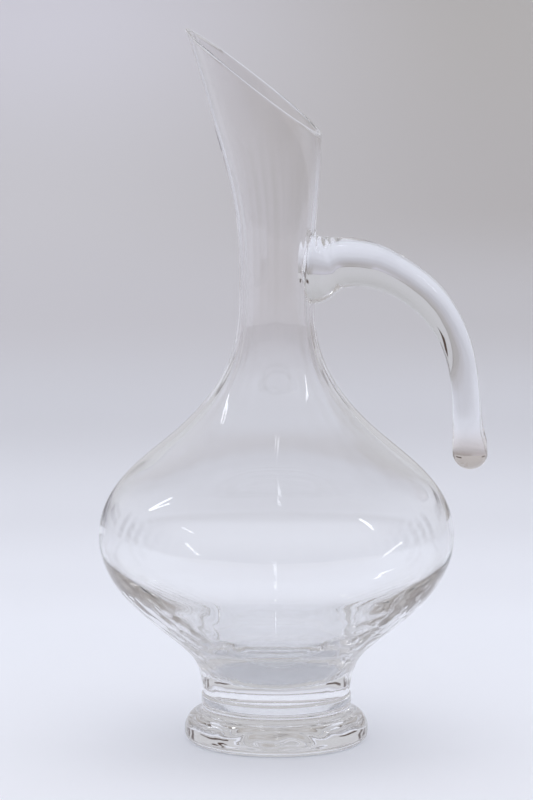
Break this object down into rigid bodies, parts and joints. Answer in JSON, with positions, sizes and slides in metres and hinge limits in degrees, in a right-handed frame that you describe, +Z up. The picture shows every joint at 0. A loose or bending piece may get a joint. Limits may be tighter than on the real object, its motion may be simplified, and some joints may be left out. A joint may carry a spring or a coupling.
{
  "type": "wine decanter",
  "caption": "Clear glass decanter: wide bowl on a thick stem and foot, narrow neck with a slanted pouring mouth, free-ended handle.",
  "frame": {"origin": "centre of the foot's flat underside, on the axis of the bowl and neck", "axes": "+Z up along the bowl's axis, -X towards the tip of the pouring lip, +X towards the handle"},
  "size_m": [0.1833, 0.1676, 0.34],
  "materials": {
    "bowl_glass": "clear, fire-polished, mouth-blown",
    "base_glass": "clear, thick and solid, pressed and polished",
    "handle_glass": "clear, hot-drawn rod, fire-polished"
  },
  "bodies": {
    "root": {"bowl_and_neck": "bowl_glass", "stem": "base_glass", "merese": "base_glass", "foot": "base_glass", "handle": "handle_glass"}
  },
  "joints": []
}
